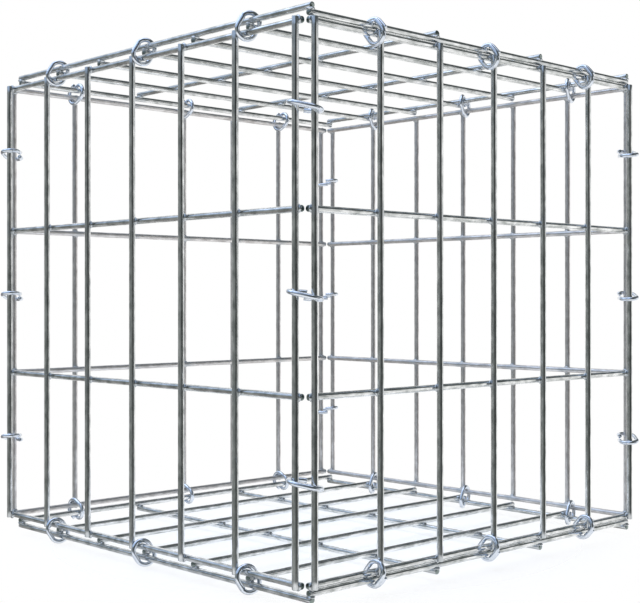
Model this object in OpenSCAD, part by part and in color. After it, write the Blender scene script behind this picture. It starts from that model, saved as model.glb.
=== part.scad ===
// Gabion basket: an empty cube of six welded wire mesh panels, closed along its
// twelve edges with steel C-rings. Millimetres, +Z up, origin on the ground under
// the middle of the basket. The front faces -Y.

/* [Basket] */
// Width of the wire grid, from the first upright to the last, left to right
basket_w = 300; // [250:10:600]
// Depth of the wire grid, front to back
basket_d = 300; // [250:10:600]
// Height of the wire grid
basket_h = 300; // [250:10:600]

/* [Mesh] */
// Thickness of the mesh wire
wire_d = 3.8; // [3:0.1:5]
// Length of a mesh opening, between the widely spaced wires
mesh_long = 100; // [80:5:125]
// Number of closely spaced wires to each long opening
wires_per_opening = 2; // [2:1:3]
// How far two crossing wires sink into each other at a weld
weld_sink = 0.3; // [0.1:0.05:0.6]
// How far a wire runs on past the last wire that crosses it
wire_overhang = 1.6; // [0.5:0.1:4]
// Gap between the wires of neighbouring panels
panel_gap = 0.3; // [0.2:0.05:1]

/* [Rings] */
// Number of C-rings on each edge of the basket
rings_per_edge = 3; // [1:1:3]
// Thickness of the ring wire
ring_d = 2.8; // [2:0.1:3.5]
// Length of wire in each ring
ring_length = 50; // [46:0.5:60]
// Gap between a ring and the mesh wires that it ties
ring_gap = 0.25; // [0.2:0.05:0.5]
// Turn of the front and back rings away from square to their edge
front_ring_turn = 20; // [0:1:25]
// Slope of the front and back rings, from the edge wire up to the outer lid wire
front_ring_tilt = 59; // [57:1:65]
// Turn of the right-hand rings away from square to their edge
side_ring_turn = 6; // [0:1:10]
// Slope of the right-hand rings, from outside the edge wire up and in over the lid
side_ring_tilt = 49; // [45:1:55]
// Height of the corner rings above the middle of the mesh openings
corner_ring_lift = 4; // [0:0.5:10]
// Sideways slope of the corner rings
corner_ring_slope = 9; // [0:1:10]

/* [Hidden] */
wire_sides = 12;
ring_sides = 8;
ring_steps = 24;
wire_r = wire_d / 2;
wire_corner_r = wire_r / cos(180 / wire_sides);
layer = wire_d - weld_sink;

// Side panels: the long openings stand upright, so the close wires are the uprights. They lie
// outside the level wires, whose ends meet the level wires of the next panel round the corner.
level_off = wire_overhang + panel_gap + wire_r;
upright_off = level_off + layer;

// Lid and base: the close wires run front to back and lie on the edge wires of the side panels,
// with the wide wires outside them. Both panels are set over to the right, onto that edge wire.
lid_shift = level_off;
lid_close_off = wire_d + panel_gap;
lid_wide_off = lid_close_off + layer;

// A ring is an oval round two wires, just wide enough for one wire lying on another.
ring_r = wire_r + lid_close_off / 2 + ring_gap + ring_d / 2;

// Wires that the rings tie, as [in from the edge, up] seen in a section through the edge.
front_tie = [level_off, lid_wide_off];
left_tie = [level_off + lid_shift, lid_close_off];
corner_tie = [upright_off, upright_off];
left_tie_angle = atan2(left_tie.y, left_tie.x);

// Half the straight run of an oval ring round two wires that lie this far apart
function ring_half(apart) = max(0, (apart + wire_d) / 2 + ring_gap + ring_d / 2 - ring_r);
function oval_length(half) = 2 * PI * ring_r + 4 * half;
function degrees_of(run) = run / ring_r * 180 / PI;

// Point on the oval at a run of wire from the middle of its outer side
function oval_point(run, half) =
    let (bend = PI * ring_r, whole = oval_length(half), s = run - whole * floor(run / whole))
    s < half ? [s, ring_r] :
    s < half + bend ? let (a = degrees_of(s - half)) [half + ring_r * sin(a), ring_r * cos(a)] :
    s < 3 * half + bend ? [2 * half + bend - s, -ring_r] :
    s < 3 * half + 2 * bend ?
        let (a = degrees_of(s - 3 * half - bend)) [-half - ring_r * sin(a), -ring_r * cos(a)] :
    [s - whole, ring_r];

// Sections of the ring wire: the wire winds once round, and its ends pass side by side
function ring_points(half) =
    let (whole = oval_length(half), rise = (ring_d + ring_gap) * ring_length / whole)
    [for (i = [0:ring_steps])
        let (t = i / ring_steps,
             p = oval_point(t * ring_length - (ring_length - whole) / 2, half),
             out = (p - [max(-half, min(half, p.x)), 0]) / ring_r)
        for (k = [0:ring_sides - 1])
            let (a = 360 * k / ring_sides, q = p + ring_d / 2 * cos(a) * out)
            [q.x, q.y, rise * (t - 0.5) + ring_d / 2 * sin(a)]];

// A front ring is pushed a little out and up. Height of its top above the level edge wire, and so
// the height at which the base rings hold the middle of the basket.
front_half = ring_half(norm(front_tie) + 2 * ring_gap);
front_ring_mid = [2 * ring_gap - front_tie.x / 2, front_tie.y / 2 + ring_gap];
front_ring_top = front_ring_mid.y + max([for (p = ring_points(front_half))
    p.x * sin(front_ring_tilt) + p.y * cos(front_ring_tilt)]);
middle_z = basket_h / 2 + front_ring_top;

// Places of the wires of a panel, and of the rings, measured from the middle
function openings(size) = max(1, round(size / mesh_long));
function spread(size, count) = [for (i = [0:count]) size * (i / count - 0.5)];
function ring_place(size, i) =
    size * ((floor((i - 0.5) * openings(size) / rings_per_edge) + 0.5) / openings(size) - 0.5);

PANELS = ["front_panel", "back_panel", "left_panel", "right_panel", "base_panel", "lid_panel"];
EDGES = ["front_top", "front_base", "back_top", "back_base", "left_top", "left_base",
    "right_top", "right_base", "front_left", "front_right", "back_left", "back_right"];
function ring_name(edge, i) = str(edge, "_ring_", i);

// One straight wire along Z, with a flat facing each neighbour
module wire(length) {
    rotate(180 / wire_sides)
        cylinder(r = wire_corner_r, h = length + 2 * wire_overhang, center = true, $fn = wire_sides);
}

// A welded panel lying flat: close wires along Y at one height, wide wires along X at another
module mesh_panel(across, along, close_z, wide_z) {
    color("slategray") {
        for (x = spread(across, wires_per_opening * openings(across)))
            translate([x, 0, close_z]) rotate([90, 0, 0]) wire(along);
        for (y = spread(along, openings(along)))
            translate([0, y, wide_z]) rotate([0, 90, 0]) wire(across);
    }
}

// The panel that closes one side, stood upright facing -Y
module side_panel(across, out) {
    translate([0, -out, 0]) rotate([90, 0, 0])
        mesh_panel(across, basket_h, upright_off, level_off);
}

module front_panel() {
    translate([0, 0, middle_z]) side_panel(basket_w, basket_d / 2);
}

module back_panel() {
    translate([0, 0, middle_z]) rotate(180) side_panel(basket_w, basket_d / 2);
}

module left_panel() {
    translate([0, 0, middle_z]) rotate(-90) side_panel(basket_d, basket_w / 2);
}

module right_panel() {
    translate([0, 0, middle_z]) rotate(90) side_panel(basket_d, basket_w / 2);
}

// The lid, measured from the middle of the basket; the base is the same panel upside down
module level_panel() {
    translate([lid_shift, 0, basket_h / 2])
        mesh_panel(basket_w, basket_d, lid_close_off, lid_wide_off);
}

module lid_panel() {
    translate([0, 0, middle_z]) level_panel();
}

module base_panel() {
    translate([0, 0, middle_z]) mirror([0, 0, 1]) level_panel();
}

// One C-ring in the XY plane, its ends on the +Y side
module c_ring(half) {
    last = ring_steps * ring_sides;
    color("lightsteelblue") polyhedron(
        points = ring_points(half),
        faces = concat(
            [[for (k = [0:ring_sides - 1]) k]],
            [[for (k = [ring_sides - 1:-1:0]) last + k]],
            [for (i = [0:ring_steps - 1], k = [0:ring_sides - 1], flip = [0, 1])
                let (a = i * ring_sides + k, b = i * ring_sides + (k + 1) % ring_sides)
                flip == 0 ? [a, a + ring_sides, b] : [b, a + ring_sides, b + ring_sides]]));
}

// Ring on the front top edge, beside an upright and the lid wire next to it
module front_top_ring(x) {
    beside = lid_shift + (wire_d + ring_d) / 2 - ring_r * sin(front_ring_tilt) * sin(front_ring_turn);
    translate([x + beside, -basket_d / 2 - level_off - front_ring_mid.x, basket_h / 2 + front_ring_mid.y])
        rotate(-front_ring_turn) rotate([front_ring_tilt, 0, 0]) rotate([90, 0, 90]) c_ring(front_half);
}

// Ring on the left top edge, beside an upright
module left_top_ring(y) {
    half = ring_half(norm(left_tie));
    beside = (wire_d + ring_d) / 2 + ring_gap;
    translate([-basket_w / 2 - level_off + left_tie.x / 2, y - beside, basket_h / 2 + left_tie.y / 2])
        rotate([0, -left_tie_angle, 0]) rotate([90, 0, 0]) c_ring(half);
}

// Ring on the right top edge, where the lid wire lies on the edge wire. The ring hangs out and
// down from the pair, beside an upright and across its top.
module right_top_ring(y) {
    hang = ring_r - (wire_d + ring_d) / 2 - ring_gap;
    beside = (wire_d + ring_d) / 2;
    out = basket_w / 2 + level_off + hang;
    up = basket_h / 2 + lid_close_off / 2 - hang * sin(side_ring_tilt);
    mirror([1, 1, 0]) translate([beside - y, -out, up])
        rotate(-side_ring_turn) rotate([side_ring_tilt, 0, 0]) rotate([90, 0, 90])
            c_ring(ring_half(norm(front_tie)));
}

// Ring round the two uprights at the front right corner, its ends inside the basket
module corner_ring(z) {
    translate([basket_w / 2 + upright_off / 2, -basket_d / 2 - upright_off / 2, z])
        rotate(45) rotate([0, corner_ring_slope, 0]) c_ring(ring_half(norm(corner_tie) + 2 * ring_gap));
}

// Rings of the other edges are mirror images of these four
module edge_ring(edge, i) {
    x = ring_place(basket_w, i);
    y = ring_place(basket_d, i);
    z = ring_place(basket_h, i) + corner_ring_lift;
    translate([0, 0, middle_z]) {
        if (edge == "front_top") front_top_ring(x);
        if (edge == "front_base") mirror([0, 0, 1]) front_top_ring(x);
        if (edge == "back_top") mirror([0, 1, 0]) front_top_ring(x);
        if (edge == "back_base") mirror([0, 1, 0]) mirror([0, 0, 1]) front_top_ring(x);
        if (edge == "left_top") left_top_ring(y);
        if (edge == "left_base") mirror([0, 0, 1]) left_top_ring(y);
        if (edge == "right_top") right_top_ring(y);
        if (edge == "right_base") mirror([0, 0, 1]) right_top_ring(y);
        if (edge == "front_right") corner_ring(z);
        if (edge == "front_left") mirror([1, 0, 0]) corner_ring(z);
        if (edge == "back_right") mirror([0, 1, 0]) corner_ring(z);
        if (edge == "back_left") mirror([1, 0, 0]) mirror([0, 1, 0]) corner_ring(z);
    }
}

front_panel();
back_panel();
left_panel();
right_panel();
base_panel();
lid_panel();
for (edge = EDGES, i = [1:rings_per_edge])
    edge_ring(edge, i);
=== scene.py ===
# An empty gabion basket: a cube of six welded wire mesh panels, closed along its edges with C-rings.
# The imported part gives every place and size; this script gives each piece its finished shape and surface.
import math
import random

import bmesh
import bpy
from mathutils import Matrix, Vector


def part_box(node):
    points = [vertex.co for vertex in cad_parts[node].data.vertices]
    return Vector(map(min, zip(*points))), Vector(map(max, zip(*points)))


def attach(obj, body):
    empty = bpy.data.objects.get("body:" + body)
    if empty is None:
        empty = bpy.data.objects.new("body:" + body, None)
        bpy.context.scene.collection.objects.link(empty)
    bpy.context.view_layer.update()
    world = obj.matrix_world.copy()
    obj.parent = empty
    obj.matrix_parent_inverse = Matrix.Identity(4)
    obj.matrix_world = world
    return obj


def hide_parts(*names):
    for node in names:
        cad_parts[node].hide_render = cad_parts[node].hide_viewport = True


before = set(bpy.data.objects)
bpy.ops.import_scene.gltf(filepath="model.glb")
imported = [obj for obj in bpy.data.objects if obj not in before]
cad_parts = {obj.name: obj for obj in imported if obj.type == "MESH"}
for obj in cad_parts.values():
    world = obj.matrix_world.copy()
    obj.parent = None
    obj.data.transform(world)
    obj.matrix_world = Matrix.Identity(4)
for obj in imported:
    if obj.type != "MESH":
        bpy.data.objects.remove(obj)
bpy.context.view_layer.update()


# The four side panels: seven uprights welded outside four level wires, all of one gauge. The wire is
# drawn, hot-dip galvanised and wiped, then cut to length and resistance-welded where wires cross.
# The back and left panels are painted paler than the front and right ones, a painted lightening that stands in
# for the light on them, and their zinc is duller.
X, Y, Z = 0, 1, 2
TURN_TO = {X: Matrix.Rotation(math.pi / 2, 4, "Y"), Y: Matrix.Rotation(-math.pi / 2, 4, "X"), Z: Matrix()}
CLOSE_WIRES = 7
WIDE_WIRES = 4
WIRE_R = 0.0019
WIRE_OVERHANG = 0.0016
WIRE_SIDES = 16
WIRE_STEP = 0.005
CUT_BURR = 0.0004
CUT_SLANT = 0.16
CREASE = math.radians(50)
WELD_BEAD = (0.0027, 0.0027, 0.0012)
BEAD_SIDES = 12
BEAD_BANDS = 6
WELD_REACH = 0.006
WELD_DULLING = 0.1
# Weld colour: a heat tint, lightened into a painted highlight where the wires cross.
HEAT_TINT_AND_PAINTED_HIGHLIGHT = "#c6cacd"
SHEARED_STEEL = "#8b9693"
# Real wiping marks are finer than the picture shows, so they are drawn about a millimetre wide.
WIPING_MARK = (0.0009, 0.0009, 0.014)
WIPING_DETAIL = 3.0
ZINC_CLOUD = (0.003, 0.003, 0.006)
CLOUD_DETAIL = 2.0
COLOUR_SPREAD = (0.75, 1.25)
GLOSS_SPREAD = (0.7, 1.3)
ZINC_RELIEF = 0.0002
RELIEF_STRENGTH = 0.15
PATTERN_SHIFT = 10
MIX_FROM, MIX_TO, MIX_RESULT = 6, 7, 2


def linear(hex_colour):
    """An sRGB hex colour as the linear RGBA that nodes take."""
    parts = [int(hex_colour[i:i + 2], 16) / 255 for i in (1, 3, 5)]
    return [c / 12.92 if c <= 0.04045 else ((c + 0.055) / 1.055) ** 2.4 for c in parts] + [1.0]


def add_node(tree, kind, inputs, **settings):
    """Adds a node with its settings; an input is a value, or a socket to link from."""
    node = tree.nodes.new(kind)
    for name, value in settings.items():
        setattr(node, name, value)
    for key, value in inputs.items():
        if isinstance(value, bpy.types.NodeSocket):
            tree.links.new(value, node.inputs[key])
        else:
            node.inputs[key].default_value = value
    return node


def galvanised_wire(name, dark, light, rough, smooth):
    """Hot-dip galvanised wire: dull zinc with lengthwise wiping marks and cloudy patches, greyed by heat and
    lightened with a painted highlight round the welds, and bare sheared steel on the cut ends."""
    material = bpy.data.materials.new(name)
    material.use_nodes = True
    tree = material.node_tree
    shader = tree.nodes["Principled BSDF"]
    shader.inputs["Metallic"].default_value = 1.0
    along = add_node(tree, "ShaderNodeAttribute", {}, attribute_name="wire_coord").outputs["Vector"]
    weld = add_node(tree, "ShaderNodeAttribute", {}, attribute_name="weld_heat").outputs["Fac"]
    cut = add_node(tree, "ShaderNodeAttribute", {}, attribute_name="cut_end").outputs["Fac"]

    patterns = []
    for size, detail in ((WIPING_MARK, WIPING_DETAIL), (ZINC_CLOUD, CLOUD_DETAIL)):
        place = add_node(tree, "ShaderNodeMapping", {"Vector": along, "Scale": [1 / s for s in size]})
        pattern = add_node(tree, "ShaderNodeTexNoise", {"Vector": place.outputs["Vector"], "Scale": 1.0,
                                                        "Detail": detail})
        patterns.append(pattern.outputs["Fac"])
    both = add_node(tree, "ShaderNodeMath", dict(enumerate(patterns)), operation="ADD").outputs["Value"]

    light_share = add_node(tree, "ShaderNodeMapRange", {"Value": both, "From Min": COLOUR_SPREAD[0],
                                                        "From Max": COLOUR_SPREAD[1]}).outputs["Result"]
    colour = linear(dark)
    # The weld colour is partly heat tint and partly a painted highlight at the crossings.
    for share, tint in ((light_share, light), (weld, HEAT_TINT_AND_PAINTED_HIGHLIGHT), (cut, SHEARED_STEEL)):
        colour = add_node(tree, "ShaderNodeMix", {"Factor": share, MIX_FROM: colour, MIX_TO: linear(tint)},
                          data_type="RGBA").outputs[MIX_RESULT]
    tree.links.new(colour, shader.inputs["Base Color"])

    dull = add_node(tree, "ShaderNodeMapRange", {"Value": both, "From Min": GLOSS_SPREAD[0],
                                                 "From Max": GLOSS_SPREAD[1], "To Min": rough,
                                                 "To Max": smooth}).outputs["Result"]
    roughness = add_node(tree, "ShaderNodeMath", {0: weld, 1: WELD_DULLING, 2: dull}, operation="MULTIPLY_ADD")
    tree.links.new(roughness.outputs["Value"], shader.inputs["Roughness"])
    bump = add_node(tree, "ShaderNodeBump", {"Height": both, "Strength": RELIEF_STRENGTH,
                                             "Distance": ZINC_RELIEF})
    tree.links.new(bump.outputs["Normal"], shader.inputs["Normal"])
    return material


def straight_wire(length, crossings, chance):
    """One cut length of wire along Z, with its own coordinates for the surface and its weld marks."""
    bm = bmesh.new()
    bmesh.ops.create_cone(bm, cap_ends=True, segments=WIRE_SIDES, radius1=WIRE_R, radius2=WIRE_R,
                          depth=length)
    ends = [e for e in bm.edges if abs(e.verts[0].co.z - e.verts[1].co.z) < length / 2]
    long_edges = [e for e in bm.edges if abs(e.verts[0].co.z - e.verts[1].co.z) > length / 2]
    bmesh.ops.subdivide_edges(bm, edges=long_edges, cuts=round(length / WIRE_STEP), use_grid_fill=True)
    bmesh.ops.bevel(bm, geom=ends, offset=CUT_BURR, segments=2, profile=0.5, affect="EDGES", material=-1)
    wire_coord = bm.verts.layers.float_vector.new("wire_coord")
    weld_heat = bm.verts.layers.float.new("weld_heat")
    cut_end = bm.verts.layers.float.new("cut_end")
    slant = CUT_SLANT * chance.uniform(-1, 1)
    offset = chance.uniform(0, PATTERN_SHIFT)
    for v in bm.verts:
        near = min(abs(v.co.z - c) for c in crossings)
        v[wire_coord] = (v.co.x, v.co.y, v.co.z + offset)
        v[weld_heat] = max(0.0, 1 - near / WELD_REACH)
        v[cut_end] = float(abs(v.co.z) > length / 2 - CUT_BURR / 2)
        if abs(v.co.z) > length / 2 - 2 * CUT_BURR:
            v.co.z += slant * v.co.x
    return bm


def join(bm, other, place):
    """Moves the other mesh to its place and adds it to this one."""
    bmesh.ops.transform(other, matrix=place, verts=other.verts)
    part = bpy.data.meshes.new("part")
    other.to_mesh(part)
    other.free()
    bm.from_mesh(part)
    bpy.data.meshes.remove(part)


def spread(low, high, count):
    """Evenly spaced places for so many wires, the first and the last at the two ends."""
    return [low + (high - low) * i / (count - 1) for i in range(count)]


def mesh_panel(node, close_axis, wide_axis, out, close_outside):
    """A welded panel: close wires run along one axis and wide wires along another, in two layers."""
    low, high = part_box(node)
    flat_axis = X + Y + Z - close_axis - wide_axis
    near, far = low[flat_axis] + WIRE_R, high[flat_axis] - WIRE_R
    outer, inner = (far, near) if out > 0 else (near, far)
    close_layer, wide_layer = (outer, inner) if close_outside else (inner, outer)
    close_places = spread(low[wide_axis] + WIRE_R, high[wide_axis] - WIRE_R, CLOSE_WIRES)
    wide_places = spread(low[close_axis] + WIRE_R, high[close_axis] - WIRE_R, WIDE_WIRES)
    chance = random.Random(node)
    panel = bmesh.new()
    for axis, side_axis, layer, places, crossed in (
            (close_axis, wide_axis, close_layer, close_places, wide_places),
            (wide_axis, close_axis, wide_layer, wide_places, close_places)):
        middle = (crossed[0] + crossed[-1]) / 2
        length = crossed[-1] - crossed[0] + 2 * WIRE_OVERHANG
        for place in places:
            centre = Vector((0, 0, 0))
            centre[axis], centre[side_axis], centre[flat_axis] = middle, place, layer
            wire = straight_wire(length, [c - middle for c in crossed], chance)
            join(panel, wire, Matrix.Translation(centre) @ TURN_TO[axis])
    weld_heat = panel.verts.layers.float["weld_heat"]
    wire_coord = panel.verts.layers.float_vector["wire_coord"]
    size = Vector((0, 0, 0))
    size[wide_axis], size[close_axis], size[flat_axis] = WELD_BEAD
    for a in close_places:
        for b in wide_places:
            centre = Vector((0, 0, 0))
            centre[wide_axis], centre[close_axis], centre[flat_axis] = a, b, (close_layer + wide_layer) / 2
            bead = bmesh.ops.create_uvsphere(panel, u_segments=BEAD_SIDES, v_segments=BEAD_BANDS, radius=1.0,
                                             matrix=Matrix.LocRotScale(centre, None, size))
            for v in bead["verts"]:
                v[weld_heat] = 1.0
                v[wire_coord] = v.co
    return panel


def finish_piece(bm, node, material):
    """Makes the mesh a smooth-shaded piece in place of its node."""
    bmesh.ops.recalc_face_normals(bm, faces=bm.faces)
    mesh = bpy.data.meshes.new(node + "_look")
    bm.to_mesh(mesh)
    bm.free()
    mesh.shade_smooth()
    mesh.set_sharp_from_angle(angle=CREASE)
    mesh.materials.append(material)
    piece = bpy.data.objects.new(node + "_look", mesh)
    bpy.context.collection.objects.link(piece)
    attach(piece, "root")
    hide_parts(node)


wire_finish = galvanised_wire("hot_dip_galvanised_wire", "#adb1af", "#fafbfb", rough=0.2, smooth=0.08)
# Painted light: the same zinc, painted paler for the back and left panels, with a rougher finish.
far_panels_painted_light_finish = galvanised_wire("galvanised_wire_painted_paler", "#c4c1bf", "#f4f2f1", rough=0.42, smooth=0.28)
for node, wide_axis, out, finish in (("front_panel", X, -1, wire_finish), ("back_panel", X, 1, far_panels_painted_light_finish),
                                     ("left_panel", Y, -1, far_panels_painted_light_finish), ("right_panel", Y, 1, wire_finish)):
    finish_piece(mesh_panel(node, Z, wide_axis, out, True), node, finish)


# The lid and the base: the same welded mesh laid level. Its close wires run from front to back and
# lie on the edge wires of the side panels, and its wide wires are welded outside them.
for node, out in (("base_panel", -1), ("lid_panel", 1)):
    finish_piece(mesh_panel(node, Y, X, out, False), node, wire_finish)


# The rings of the front and back edges: short lengths of zinc-coated spring wire that a tool squeezes
# shut, so that the cut ends pass side by side. Each one ties the edge wire to the outer lid wire.
SIDEWAYS, INTO, UP = Vector((1, 0, 0)), Vector((0, 1, 0)), Vector((0, 0, 1))
RING_R = 0.0014
RING_BEND = 0.0056
RING_LENGTH = 0.050
RING_GAP = 0.00025
RING_SIDES = 16
BEND_STEPS = 16
RING_CUT = 0.0003
RING_DULL = "#bfcbdb"
RING_BRIGHT = "#f8fbff"
RING_ROUGHNESS = (0.14, 0.06)
TOOL_MARK = 0.0016
TOOL_MARK_DETAIL = 3.0
TOOL_MARK_DEPTH = 0.0001
TOOL_MARK_STRENGTH = 0.2
FRONT_TIE = Vector((0.0038, 0.0076))
FRONT_TURN = math.radians(20)
FRONT_TILT = math.radians(59)


def ring_wire():
    """Zinc-coated spring wire: brighter and smoother than the mesh, with faint marks from the tool."""
    material = bpy.data.materials.new("zinc_coated_spring_wire")
    material.use_nodes = True
    tree = material.node_tree
    shader = tree.nodes["Principled BSDF"]
    shader.inputs["Metallic"].default_value = 1.0
    place = add_node(tree, "ShaderNodeTexCoord", {}).outputs["Object"]
    marks = add_node(tree, "ShaderNodeTexNoise", {"Vector": place, "Scale": 1 / TOOL_MARK,
                                                  "Detail": TOOL_MARK_DETAIL}).outputs["Fac"]
    zinc = add_node(tree, "ShaderNodeMix", {"Factor": marks, MIX_FROM: linear(RING_DULL),
                                            MIX_TO: linear(RING_BRIGHT)}, data_type="RGBA")
    tree.links.new(zinc.outputs[MIX_RESULT], shader.inputs["Base Color"])
    roughness = add_node(tree, "ShaderNodeMapRange", {"Value": marks, "To Min": RING_ROUGHNESS[0],
                                                      "To Max": RING_ROUGHNESS[1]})
    tree.links.new(roughness.outputs["Result"], shader.inputs["Roughness"])
    bump = add_node(tree, "ShaderNodeBump", {"Height": marks, "Strength": TOOL_MARK_STRENGTH,
                                             "Distance": TOOL_MARK_DEPTH})
    tree.links.new(bump.outputs["Normal"], shader.inputs["Normal"])
    return material


def c_ring(apart):
    """One turn of ring wire round two wires this far apart, in the XY plane with its ends on the +Y side."""
    half = (apart + 2 * WIRE_R) / 2 + RING_GAP + RING_R - RING_BEND
    turn = 2 * math.pi * RING_BEND + 4 * half
    lead = (RING_LENGTH - turn) / 2
    slope = (2 * RING_R + RING_GAP) / turn
    early = max(0.0, lead - half) / RING_BEND
    first = min(2 * half, half + lead)
    bend_left, bend_right = (-half, 0, 0), (half, 0, 0)
    start = (Matrix.Translation((half - first, RING_BEND, -slope * RING_LENGTH / 2))
             @ Matrix.Rotation(math.pi / 2, 4, "Y"))
    back = (Matrix.Translation(bend_left) @ Matrix.Rotation(early, 4, "Z")
            @ Matrix.Translation(bend_right))
    bm = bmesh.new()
    bmesh.ops.create_circle(bm, segments=RING_SIDES, radius=RING_R, matrix=back @ start)
    rim = list(bm.edges)
    for centre, angle, run in ((bend_left, early, 0), (None, 0, first), (bend_right, math.pi, 0),
                               (None, 0, -2 * half), (bend_left, math.pi, 0), (None, 0, first),
                               (bend_right, early, 0)):
        if run:
            made = bmesh.ops.extrude_edge_only(bm, edges=rim)["geom"]
            verts = [g for g in made if isinstance(g, bmesh.types.BMVert)]
            bmesh.ops.translate(bm, verts=verts, vec=(run, 0, slope * abs(run)))
        elif angle:
            steps = max(1, round(BEND_STEPS * angle / math.pi))
            made = bmesh.ops.spin(bm, geom=rim, cent=centre, axis=(0, 0, 1), angle=-angle, steps=steps,
                                  dvec=(0, 0, slope * RING_BEND * angle / steps))["geom_last"]
        else:
            continue
        rim = [g for g in made if isinstance(g, bmesh.types.BMEdge) and g.is_boundary]
    cut_edges = [e for e in bm.edges if e.is_boundary]
    bmesh.ops.holes_fill(bm, edges=cut_edges)
    bmesh.ops.bevel(bm, geom=cut_edges, offset=RING_CUT, segments=2, profile=0.5, affect="EDGES", material=-1)
    return bm


def close_edge(edge, apart, turn, flips):
    """Sets the three rings of one edge where their nodes are."""
    for axis in flips:
        turn = Matrix.Scale(-1, 4, axis) @ turn
    for i in (1, 2, 3):
        node = f"{edge}_ring_{i}"
        bm = c_ring(apart)
        bmesh.ops.transform(bm, matrix=turn, verts=bm.verts)
        low = Vector(min(v.co[k] for v in bm.verts) for k in (X, Y, Z))
        high = Vector(max(v.co[k] for v in bm.verts) for k in (X, Y, Z))
        node_low, node_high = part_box(node)
        bmesh.ops.translate(bm, verts=bm.verts, vec=(Vector(node_low) + Vector(node_high) - low - high) / 2)
        finish_piece(bm, node, ring_finish)


ring_finish = ring_wire()
stand_up = Matrix.Rotation(math.pi / 2, 4, "Z") @ Matrix.Rotation(math.pi / 2, 4, "X")
front_turn = Matrix.Rotation(-FRONT_TURN, 4, "Z") @ Matrix.Rotation(FRONT_TILT, 4, "X") @ stand_up
for edge, flips in (("front_top", []), ("front_base", [UP]), ("back_top", [INTO]), ("back_base", [INTO, UP])):
    close_edge(edge, FRONT_TIE.length + 2 * RING_GAP, front_turn, flips)


# The rings of the left-hand edges: the same ring, square to its edge, tying the edge wire of the left
# panel to the first close wire of the lid or base.
LEFT_TIE = Vector((0.0076, 0.0041))
LEFT_LEAN = math.atan2(LEFT_TIE.y, LEFT_TIE.x)
left_turn = Matrix.Rotation(-LEFT_LEAN, 4, "Y") @ Matrix.Rotation(math.pi / 2, 4, "X")
for edge, flips in (("left_top", []), ("left_base", [UP])):
    close_edge(edge, LEFT_TIE.length, left_turn, flips)


# The rings of the right-hand edges: here the last lid wire lies straight on the edge wire, and the
# ring hangs out and down from the pair, across the top of an upright.
SIDE_TURN = math.radians(6)
SIDE_TILT = math.radians(49)
right_turn = (Matrix.Scale(-1, 4, (SIDEWAYS + INTO).normalized()) @ Matrix.Rotation(-SIDE_TURN, 4, "Z")
              @ Matrix.Rotation(SIDE_TILT, 4, "X") @ stand_up)
for edge, flips in (("right_top", []), ("right_base", [UP])):
    close_edge(edge, FRONT_TIE.length, right_turn, flips)


# The corner rings: rings round the two uprights that meet at each corner, squeezed shut with their cut
# ends inside the basket. Each slopes a little sideways.
CORNER_TIE = Vector((0.0073, 0.0073))
CORNER_SLOPE = math.radians(9)
corner_turn = Matrix.Rotation(math.pi / 4, 4, "Z") @ Matrix.Rotation(CORNER_SLOPE, 4, "Y")
for edge, flips in (("front_right", []), ("front_left", [SIDEWAYS]), ("back_right", [INTO]),
                    ("back_left", [SIDEWAYS, INTO])):
    close_edge(edge, CORNER_TIE.length + 2 * RING_GAP, corner_turn, flips)


# The camera: level, at the height of the basket's middle, looking along the diagonal from the front
# right corner. It was fitted to the wires in the photograph, and the picture's middle was then moved
# half a pixel, to share out what the fit left over between the two near panels.
IMAGE_WIDTH = 640
IMAGE_HEIGHT = 603
SENSOR_WIDTH = 36.0
FOCAL_PIXELS = 1224.164
PRINCIPAL = (340.9, 298.276)
CAMERA_PLACE = Vector((0.630604, -0.590085, 0.165552))
CAMERA_YAW = math.radians(45.861)
NEAREST_SEEN = 0.01
lens = bpy.data.cameras.new("camera")
lens.sensor_width = SENSOR_WIDTH
lens.lens = FOCAL_PIXELS / IMAGE_WIDTH * lens.sensor_width
lens.shift_x = (IMAGE_WIDTH / 2 - PRINCIPAL[0]) / IMAGE_WIDTH
lens.shift_y = (PRINCIPAL[1] - IMAGE_HEIGHT / 2) / IMAGE_WIDTH
lens.clip_start = NEAREST_SEEN
camera = bpy.data.objects.new("camera", lens)
camera.location = CAMERA_PLACE
camera.rotation_euler = (math.pi / 2, 0, CAMERA_YAW)
bpy.context.collection.objects.link(camera)
bpy.context.scene.camera = camera


# The floor: a sheet of white studio paper under the basket, which thins out at its edge so that
# no line shows where it meets the backdrop.
FLOOR_R = 0.5
FLOOR_SIDES = 96
FLOOR_FADE_FROM = 0.05
FLOOR_FADE_TO = 0.25
FLOOR_DROP = 0.0005
FLOOR_GLOW = 0.5
PAPER_WHITE = "#f6f6f6"
PAPER_ROUGHNESS = 0.9
PAPER_SHINE = 0.1
bm = bmesh.new()
bmesh.ops.create_circle(bm, cap_ends=True, segments=FLOOR_SIDES, radius=FLOOR_R,
                        matrix=Matrix.Translation((0, 0, -FLOOR_DROP)))
floor_mesh = bpy.data.meshes.new("floor")
bm.to_mesh(floor_mesh)
bm.free()
floor = bpy.data.objects.new("floor", floor_mesh)
bpy.context.collection.objects.link(floor)
paper = bpy.data.materials.new("white_studio_paper")
paper.use_nodes = True
tree = paper.node_tree
shader = tree.nodes["Principled BSDF"]
shader.inputs["Base Color"].default_value = linear(PAPER_WHITE)
shader.inputs["Roughness"].default_value = PAPER_ROUGHNESS
shader.inputs["Specular IOR Level"].default_value = PAPER_SHINE
place = add_node(tree, "ShaderNodeTexCoord", {}).outputs["Object"]
far_out = add_node(tree, "ShaderNodeVectorMath", {0: place}, operation="LENGTH").outputs["Value"]
fade = add_node(tree, "ShaderNodeMapRange", {"Value": far_out, "From Min": FLOOR_FADE_FROM,
                                             "From Max": FLOOR_FADE_TO, "To Min": 1.0, "To Max": 0.0},
                interpolation_type="SMOOTHSTEP")
tree.links.new(fade.outputs["Result"], shader.inputs["Alpha"])
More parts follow.
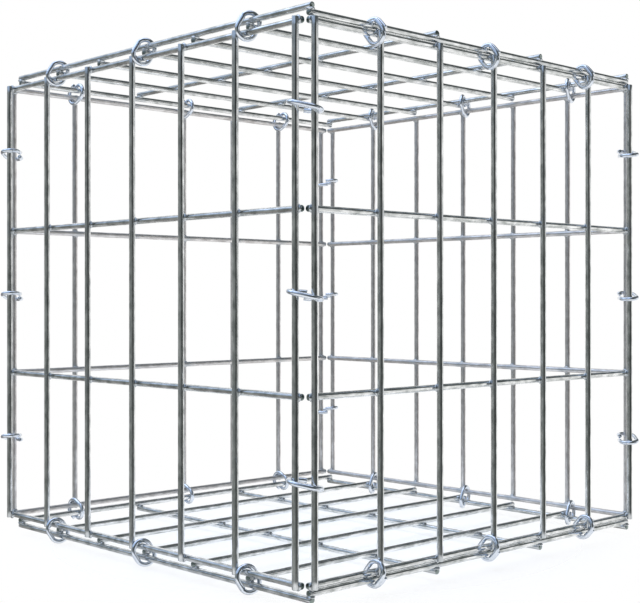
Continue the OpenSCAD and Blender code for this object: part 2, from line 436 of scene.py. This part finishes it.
ray = add_node(tree, "ShaderNodeLightPath", {}).outputs
seen = add_node(tree, "ShaderNodeMath", {0: ray["Is Camera Ray"], 1: ray["Is Glossy Ray"]}, operation="ADD")
seen = add_node(tree, "ShaderNodeMath", {0: seen.outputs["Value"], 1: ray["Is Transmission Ray"]},
                operation="ADD", use_clamp=True)
glow = add_node(tree, "ShaderNodeMath", {0: seen.outputs["Value"], 1: FLOOR_GLOW}, operation="MULTIPLY")
shader.inputs["Emission Color"].default_value = linear("#ffffff")
tree.links.new(glow.outputs["Value"], shader.inputs["Emission Strength"])
floor_mesh.materials.append(paper)


# The studio: a white backdrop behind the basket and a dim room round the camera, with a skylight above
# left, a dark ceiling above right, a window far right and a white table below that greys to the left.
# The wires mirror it, which gives them their dark and bright lines. Each pair is where a change is made.
RIGHT_TO = Vector((math.cos(CAMERA_YAW), math.sin(CAMERA_YAW), 0))
BACKDROP_TO = Vector((-math.sin(CAMERA_YAW), math.cos(CAMERA_YAW), 0))
LEFT_WALL = "#878b8a"
RIGHT_WALL = "#3c403f"
WINDOW_FRAME = "#2a2d2c"
BLUE_SKYLIGHT = "#b9cdea"
PALE_SKYLIGHT = "#f6faff"
DARK_CEILING = "#5c6162"
GREY_TABLE = "#8a8886"
WALL_DARKENS = (-0.8, 0.8)
WALL_WHITENS = (0.55, 0.75)
FRAME_DARKENS = (-0.5, 0.2)
WINDOW_OPENS = (0.6, 1.0)
SKYLIGHT_PALES = (-0.5, 0.3)
SKYLIGHT_ENDS = (-0.2, 0.2)
TABLE_GREYS = (-0.2, 0.2)
TABLE_WHITENS = (0.2, 0.6)
WINDOW_SILL = (0.0, 0.15)
CEILING_LINE = (0.18, 0.34)
TABLE_LINE = (-0.2, -0.4)
BACKDROP_EDGE = (0.4, 0.76)
BACKDROP_NARROWING = -0.6


def grade(colour, other, across, change):
    """One colour of the room passing smoothly into another, across a direction in the room."""
    share = add_node(tree, "ShaderNodeMapRange", {"Value": across, "From Min": change[0], "From Max": change[1]},
                     interpolation_type="SMOOTHSTEP").outputs["Result"]
    return add_node(tree, "ShaderNodeMix", {"Factor": share, MIX_FROM: colour, MIX_TO: other},
                    data_type="RGBA").outputs[MIX_RESULT]


world = bpy.data.worlds.new("studio")
bpy.context.scene.world = world
world.use_nodes = True
tree = world.node_tree
direction = add_node(tree, "ShaderNodeTexCoord", {}).outputs["Generated"]
facing, aside, inward, height = (
    add_node(tree, "ShaderNodeVectorMath", {0: direction, 1: way}, operation="DOT_PRODUCT").outputs["Value"]
    for way in (BACKDROP_TO, RIGHT_TO, INTO, UP))
steep = add_node(tree, "ShaderNodeMath", {0: height}, operation="ABSOLUTE").outputs["Value"]
level_facing = add_node(tree, "ShaderNodeMath", {0: steep, 1: BACKDROP_NARROWING, 2: facing},
                        operation="MULTIPLY_ADD").outputs["Value"]
white = linear("#ffffff")
walls = grade(linear(LEFT_WALL), linear(RIGHT_WALL), aside, WALL_DARKENS)
walls = grade(walls, white, inward, WALL_WHITENS)
window = grade(linear(LEFT_WALL), linear(WINDOW_FRAME), aside, FRAME_DARKENS)
window = grade(window, white, aside, WINDOW_OPENS)
skylight = grade(linear(BLUE_SKYLIGHT), linear(PALE_SKYLIGHT), inward, SKYLIGHT_PALES)
ceiling = grade(skylight, linear(DARK_CEILING), aside, SKYLIGHT_ENDS)
far_table = grade(linear(GREY_TABLE), white, inward, TABLE_WHITENS)
table = grade(white, far_table, facing, TABLE_GREYS)
room = grade(walls, window, height, WINDOW_SILL)
room = grade(room, ceiling, height, CEILING_LINE)
room = grade(room, table, height, TABLE_LINE)
studio = grade(room, white, level_facing, BACKDROP_EDGE)
tree.links.new(studio, tree.nodes["Background"].inputs["Color"])


# The lamps: two soft boxes of cool light, one high on the left and a larger one overhead, both aimed
# at the middle of the basket.
BASKET_MIDDLE = Vector((0, 0, 0.16))
for name, place, width, watts, colour in (("left_softbox", Vector((-0.8, -0.8, 1.5)), 0.9, 3, "#dfeaff"),
                                          ("overhead_softbox", Vector((0.1, -0.1, 1.7)), 1.3, 6, "#dbe6ff")):
    lamp = bpy.data.lights.new(name, "AREA")
    lamp.shape = "SQUARE"
    lamp.size = width
    lamp.energy = watts
    lamp.color = linear(colour)[:3]
    box = bpy.data.objects.new(name, lamp)
    box.location = place
    box.rotation_euler = (BASKET_MIDDLE - place).to_track_quat("-Z", "Y").to_euler()
    bpy.context.collection.objects.link(box)
bpy.context.scene.view_settings.view_transform = "Standard"
